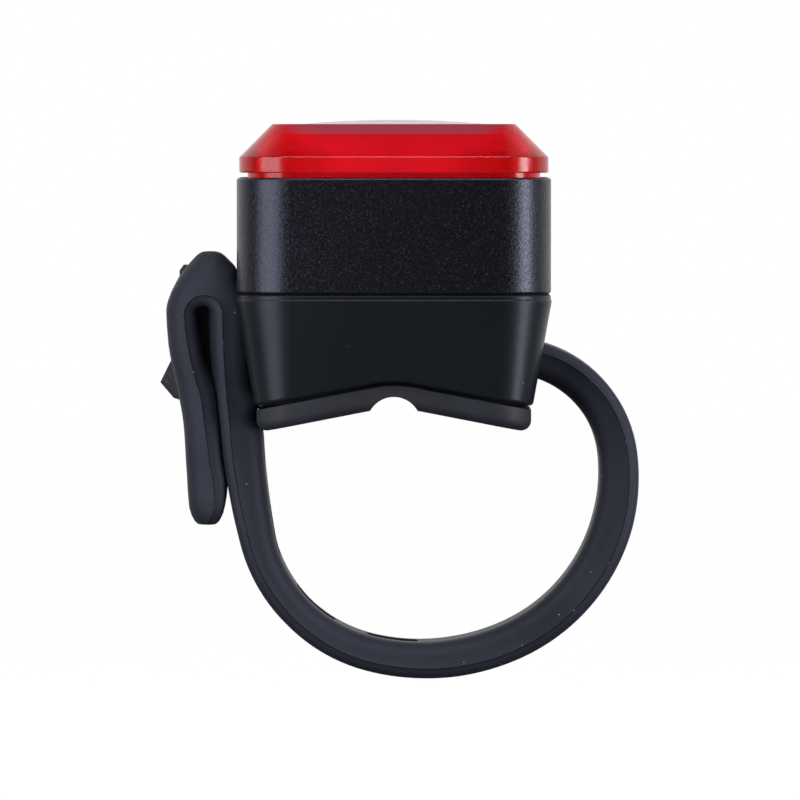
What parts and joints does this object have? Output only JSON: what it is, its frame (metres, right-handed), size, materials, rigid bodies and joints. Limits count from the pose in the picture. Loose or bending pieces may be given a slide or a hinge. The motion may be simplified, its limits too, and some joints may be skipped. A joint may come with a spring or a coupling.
{
  "type": "bicycle rear light",
  "caption": "Square rechargeable bicycle rear light with a red lens, rubber saddle and a silicone ladder strap hooked round the seat post.",
  "frame": {"origin": "on the axis of the 27.2 mm seat post that the saddle seats on, halfway along the light", "axes": "+X across the light, away from the strap's hook; +Y along the seat post, towards the charging port's side; +Z out through the lens"},
  "size_m": [0.0581, 0.0382, 0.0677],
  "materials": {
    "red_lens": "gloss, see-through red polycarbonate",
    "frosted_button": "frosted silicone",
    "seal_rubber": "matt",
    "bright_reflector": "aluminised plastic",
    "circuit_board": "white solder mask",
    "lamp_package": "phosphor lens",
    "black_component": "moulded",
    "ceramic_component": "ceramic",
    "textured_housing": "fine spark texture",
    "smooth_housing": "satin",
    "steel": "zinc plated",
    "foam": "open-cell foam",
    "cell_wrap": "laminated foil",
    "wire_insulation": "PVC",
    "hook_plastic": "gloss nylon",
    "pad_rubber": "matt",
    "strap_silicone": "satin silicone"
  },
  "bodies": {
    "case": {"lens_cover": "red_lens", "lens_seal": "seal_rubber", "reflector": "bright_reflector", "lamp_board": "circuit_board", "lamps": "lamp_package", "indicator_lamps": "lamp_package", "switch_body": "black_component", "driver_chip": "black_component", "board_resistors": "ceramic_component", "upper_case": "textured_housing", "case_seal": "seal_rubber", "lower_case": "smooth_housing", "case_screws": "steel", "foam_pad": "foam", "battery_cell": "cell_wrap", "battery_leads": "wire_insulation", "link_wires": "wire_insulation", "charge_board": "circuit_board", "charge_chip": "black_component", "usb_shell": "steel", "usb_tongue": "black_component", "cover_tab": "pad_rubber", "saddle_pad": "pad_rubber", "anchor_pin": "steel", "strap_hook": "hook_plastic", "strap_loop": "strap_silicone"},
    "button": {"power_button": "frosted_button"},
    "plunger": {"switch_plunger": "black_component"},
    "cover": {"port_cover": "pad_rubber"},
    "tail": {"strap_tail": "strap_silicone"}
  },
  "joints": [
    {"name": "button_press", "type": "slide", "parent": "case", "child": "button", "axis": [0, 0, -1], "range_m": [0, 0.00035], "stiffness_N_per_m": 600},
    {"name": "plunger_press", "type": "slide", "parent": "case", "child": "plunger", "axis": [0, 0, -1], "range_m": [0, 0.00035]},
    {"name": "port_cover_swing", "type": "hinge", "parent": "case", "child": "cover", "pos_m": [-0.0067, 0.0187, 0.02225], "axis": [0, 0, 1], "range_deg": [0, 120], "stiffness_Nm_per_rad": 0.002},
    {"name": "tail_lift", "type": "hinge", "parent": "case", "child": "tail", "pos_m": [-0.0235, 0, 0.03235], "axis": [0, 1, 0], "range_deg": [0, 80], "stiffness_Nm_per_rad": 0.01}
  ],
  "couplings": [
    {"joint": "plunger_press", "follows": "button_press", "ratio": 1}
  ]
}
